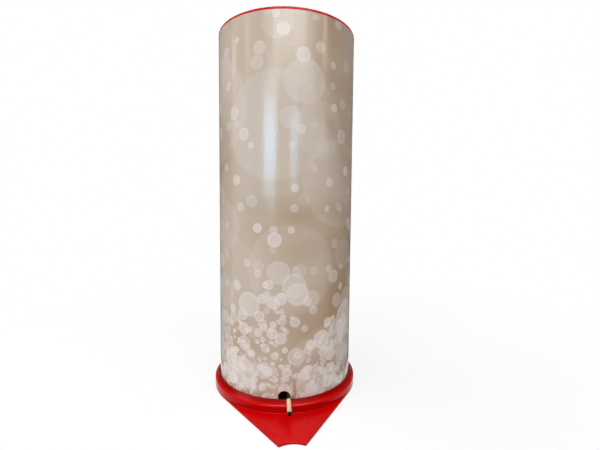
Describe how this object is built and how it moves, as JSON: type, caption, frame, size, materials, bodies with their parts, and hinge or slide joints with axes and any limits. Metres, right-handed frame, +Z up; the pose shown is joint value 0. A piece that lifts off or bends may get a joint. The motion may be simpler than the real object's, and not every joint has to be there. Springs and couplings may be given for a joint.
{
  "type": "table party popper",
  "caption": "Tall printed card tube on a round moulded base with a pointed foot, closed by a plug lid, with a short fuse low at the front.",
  "frame": {"origin": "on the tube's axis, in the flat underside of the base", "axes": "+Z up along the tube, the foot points to -Y, +X to the right seen from the foot"},
  "size_m": [0.0972, 0.1238, 0.2323],
  "materials": {
    "base_plastic": "moulded high gloss",
    "lid_plastic": "moulded gloss",
    "tube_card": "spiral wound, matte",
    "gloss_print": "glossy varnished print",
    "grey_board": "matte",
    "band_card": "matte",
    "wool": "loose fibres",
    "fuse_black": "coated cord",
    "sleeve_paper": "plain wound paper"
  },
  "bodies": {
    "root": {"base_foot": "base_plastic", "tube_core": "tube_card", "printed_wrap": "gloss_print", "charge_liner": "grey_board", "propellant_wool": "wool", "fuse_cord": "fuse_black", "fuse_sleeve": "sleeve_paper"},
    "lid": {"lid": "lid_plastic"},
    "driving_tray": {"driving_board": "grey_board", "driving_band": "band_card"}
  },
  "joints": [
    {"name": "lid_lift", "type": "slide", "parent": "root", "child": "lid", "axis": [0, 0, 1], "range_m": [0, 0.08]},
    {"name": "tray_rise", "type": "slide", "parent": "root", "child": "driving_tray", "axis": [0, 0, 1], "range_m": [0, 0.19]}
  ]
}
